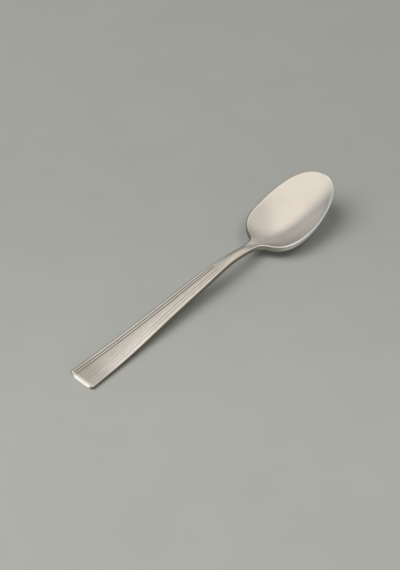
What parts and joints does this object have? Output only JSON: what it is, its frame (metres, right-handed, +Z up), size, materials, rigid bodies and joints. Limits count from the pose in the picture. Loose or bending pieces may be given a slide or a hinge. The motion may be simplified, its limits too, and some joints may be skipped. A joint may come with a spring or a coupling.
{
  "type": "teaspoon",
  "caption": "One-piece stamped steel teaspoon: egg-shaped bowl, slim rounded neck and a tapered handle with grooves along its edges and a bevelled, bowed end.",
  "frame": {"origin": "on the table, under the middle of the spoon's length and width", "axes": "+X along the spoon towards the tip of the bowl, +Y to the left of that, +Z up out of the hollow of the bowl"},
  "size_m": [0.138, 0.0272, 0.0162],
  "materials": {
    "polished_steel": "soft polish, slightly worn by use",
    "satin_steel": "satin, brushed along the handle"
  },
  "bodies": {
    "root": {"bowl": "polished_steel", "neck": "polished_steel", "handle": "satin_steel", "handle_end": "satin_steel"}
  },
  "joints": []
}
